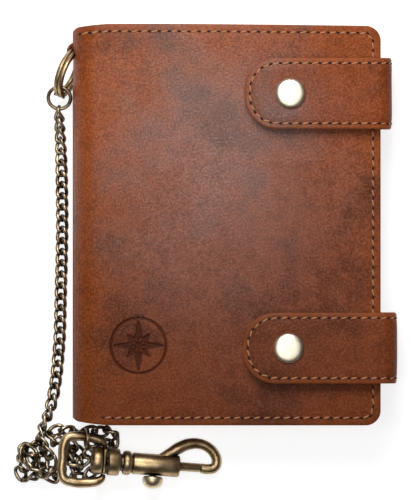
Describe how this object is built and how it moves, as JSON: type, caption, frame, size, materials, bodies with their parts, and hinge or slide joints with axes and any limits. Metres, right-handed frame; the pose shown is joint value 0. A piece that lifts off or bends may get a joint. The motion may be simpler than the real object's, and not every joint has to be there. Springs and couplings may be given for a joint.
{
  "type": "chain wallet",
  "caption": "Upright leather wallet with two snap straps over the fore edge, and a curb chain on a split ring ending in a swivel snap hook.",
  "frame": {"origin": "middle of the back cover's outer face, on the surface the wallet lies on", "axes": "+X from the spine to the fore edge, +Y up the wallet to its top edge, +Z out of the front cover"},
  "size_m": [0.1191, 0.1445, 0.0239],
  "materials": {
    "oiled_leather": "oiled pull-up leather, reddish brown, satin",
    "lining_leather": "thin split leather, matt",
    "snap_brass": "pale antique brass, satin",
    "snap_steel": "nickelled steel",
    "antique_brass": "antique brass plate, dark in the recesses",
    "spring_steel": "bare spring steel",
    "clear_film": "clear flexible film"
  },
  "bodies": {
    "back_half": {"outer_back": "oiled_leather", "spine_leather": "oiled_leather", "back_lining": "lining_leather", "back_note_panel": "lining_leather", "back_card_pocket_1": "lining_leather", "back_card_pocket_2": "lining_leather", "back_card_pocket_3": "lining_leather", "strap_root_upper": "oiled_leather", "strap_root_lower": "oiled_leather", "ring_tab": "oiled_leather", "jump_ring": "antique_brass", "chain_run": "antique_brass", "chain_heap": "antique_brass", "chain_end_link": "antique_brass", "hook_eye": "antique_brass"},
    "front_half": {"outer_front": "oiled_leather", "front_lining": "lining_leather", "front_card_pocket_1": "lining_leather", "front_card_pocket_2": "lining_leather", "coin_gusset": "lining_leather", "coin_panel": "lining_leather", "coin_flap": "lining_leather", "snap_stud_upper": "snap_steel", "snap_plate_upper": "snap_steel", "snap_stud_lower": "snap_steel", "snap_plate_lower": "snap_steel"},
    "window_leaf": {"leaf_frame": "lining_leather", "leaf_window": "clear_film"},
    "upper_strap": {"strap_top_upper": "oiled_leather", "strap_lining_upper": "lining_leather", "snap_cap_upper": "snap_brass", "snap_socket_upper": "snap_steel"},
    "lower_strap": {"strap_top_lower": "oiled_leather", "strap_lining_lower": "lining_leather", "snap_cap_lower": "snap_brass", "snap_socket_lower": "snap_steel"},
    "key_ring": {"split_ring": "antique_brass"},
    "snap_hook": {"hook_body": "antique_brass", "swivel_rivet": "antique_brass", "bolt_spring": "spring_steel"},
    "spring_bolt": {"hook_bolt": "antique_brass", "thumb_knob": "antique_brass"}
  },
  "joints": [
    {"name": "cover_open", "type": "hinge", "parent": "back_half", "child": "front_half", "pos_m": [-0.042, 0, 0.009], "axis": [0, -1, 0], "range_deg": [0, 50], "deforming": ["spine_leather"]},
    {"name": "leaf_turn", "type": "hinge", "parent": "back_half", "child": "window_leaf", "pos_m": [-0.042, 0, 0.009], "axis": [0, -1, 0], "range_deg": [0, 25]},
    {"name": "upper_strap_lift", "type": "hinge", "parent": "back_half", "child": "upper_strap", "pos_m": [0.0506, 0.0408, 0.021], "axis": [0, 1, 0], "range_deg": [0, 200], "deforming": ["strap_top_upper", "strap_lining_upper"]},
    {"name": "lower_strap_lift", "type": "hinge", "parent": "back_half", "child": "lower_strap", "pos_m": [0.0522, -0.0384, 0.021], "axis": [0, 1, 0], "range_deg": [0, 200], "deforming": ["strap_top_lower", "strap_lining_lower"]},
    {"name": "ring_turn", "type": "hinge", "parent": "back_half", "child": "key_ring", "pos_m": [-0.0493, 0.0473, 0.0081], "axis": [-0.8692, 0.3571, -0.342], "continuous": true},
    {"name": "hook_swivel", "type": "hinge", "parent": "back_half", "child": "snap_hook", "pos_m": [-0.0382, -0.0739, 0.0071], "axis": [0.9864, -0.0724, -0.1478], "continuous": true},
    {"name": "bolt_slide", "type": "slide", "parent": "snap_hook", "child": "spring_bolt", "axis": [-0.9864, 0.0724, 0.1478], "range_m": [0, 0.0045], "stiffness_N_per_m": 60, "deforming": ["bolt_spring"]}
  ],
  "couplings": [
    {"joint": "leaf_turn", "follows": "cover_open", "ratio": 0.5},
    {"joint": "upper_strap_lift", "follows": "cover_open", "ratio": 4},
    {"joint": "lower_strap_lift", "follows": "cover_open", "ratio": 4}
  ]
}
